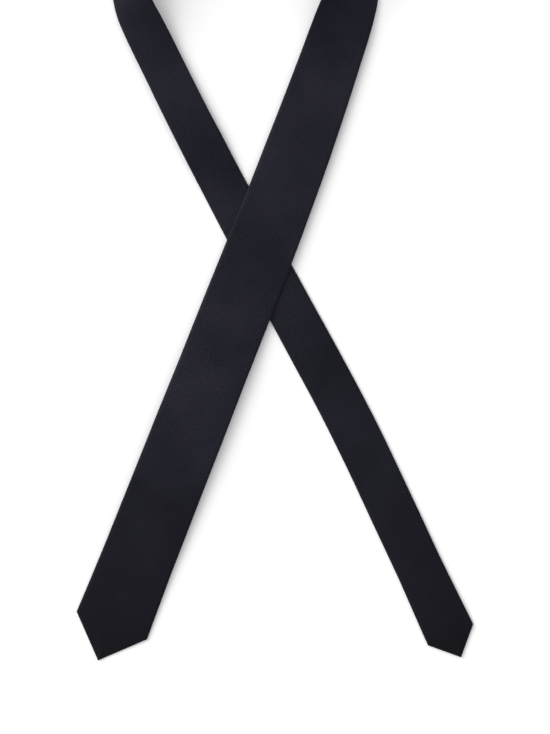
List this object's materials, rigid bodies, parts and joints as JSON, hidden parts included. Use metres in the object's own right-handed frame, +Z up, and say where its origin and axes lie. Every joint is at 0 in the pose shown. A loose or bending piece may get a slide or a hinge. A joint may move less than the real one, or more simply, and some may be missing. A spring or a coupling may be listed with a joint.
{
  "type": "necktie",
  "caption": "Slim pointed necktie laid out as worn: neck loop standing on its edge, wide blade crossing over narrow tail, lined and interlined, with keeper loop.",
  "frame": {"origin": "on the table, on the back of the tail straight under the point where the centrelines of blade and tail cross", "axes": "+Y runs along the tie's layout from the crossing towards the neck loop, +Z is up out of the front side of the tie, and +X is to the right as the front is seen with the loop at the top"},
  "size_m": [0.315, 0.649, 0.0383],
  "materials": {
    "silk": "satin",
    "lining": "satin",
    "wool": "matte",
    "thread": "matte",
    "label": "satin"
  },
  "bodies": {
    "crossing": {"tail_shell_upper": "silk", "tail_interlining_upper": "wool", "tail_seam_thread": "thread", "blade_shell_middle": "silk", "blade_interlining_middle": "wool", "slip_stitch_crossing": "thread"},
    "neck": {"blade_shell_upper": "silk", "neck_shell": "silk", "neck_interlining": "wool", "blade_seam_thread": "thread", "slip_stitch_neck": "thread"},
    "blade": {"blade_shell_lower": "silk", "blade_interlining_lower": "wool", "blade_tipping": "lining", "keeper_loop": "silk", "keeper_stitches": "thread", "blade_bar_tack": "thread", "care_label": "label", "slip_stitch_blade": "thread"},
    "tail": {"tail_shell_lower": "silk", "tail_interlining_lower": "wool", "tail_tipping": "lining", "tail_bar_tack": "thread", "slip_stitch_tail": "thread"}
  },
  "joints": [
    {"name": "neck_raise", "type": "hinge", "parent": "crossing", "child": "neck", "pos_m": [0.03089, 0.08093, 0.0059], "axis": [0.9383, -0.3457, 0], "range_deg": [0, 60]},
    {"name": "blade_lift", "type": "hinge", "parent": "crossing", "child": "blade", "pos_m": [0.01836, 0.0474, 0.0059], "axis": [-0.935, 0.3547, 0], "range_deg": [0, 100]},
    {"name": "tail_lift", "type": "hinge", "parent": "crossing", "child": "tail", "pos_m": [0.02817, -0.05188, 0.0028], "axis": [-0.8788, -0.4772, 0], "range_deg": [0, 110]}
  ]
}
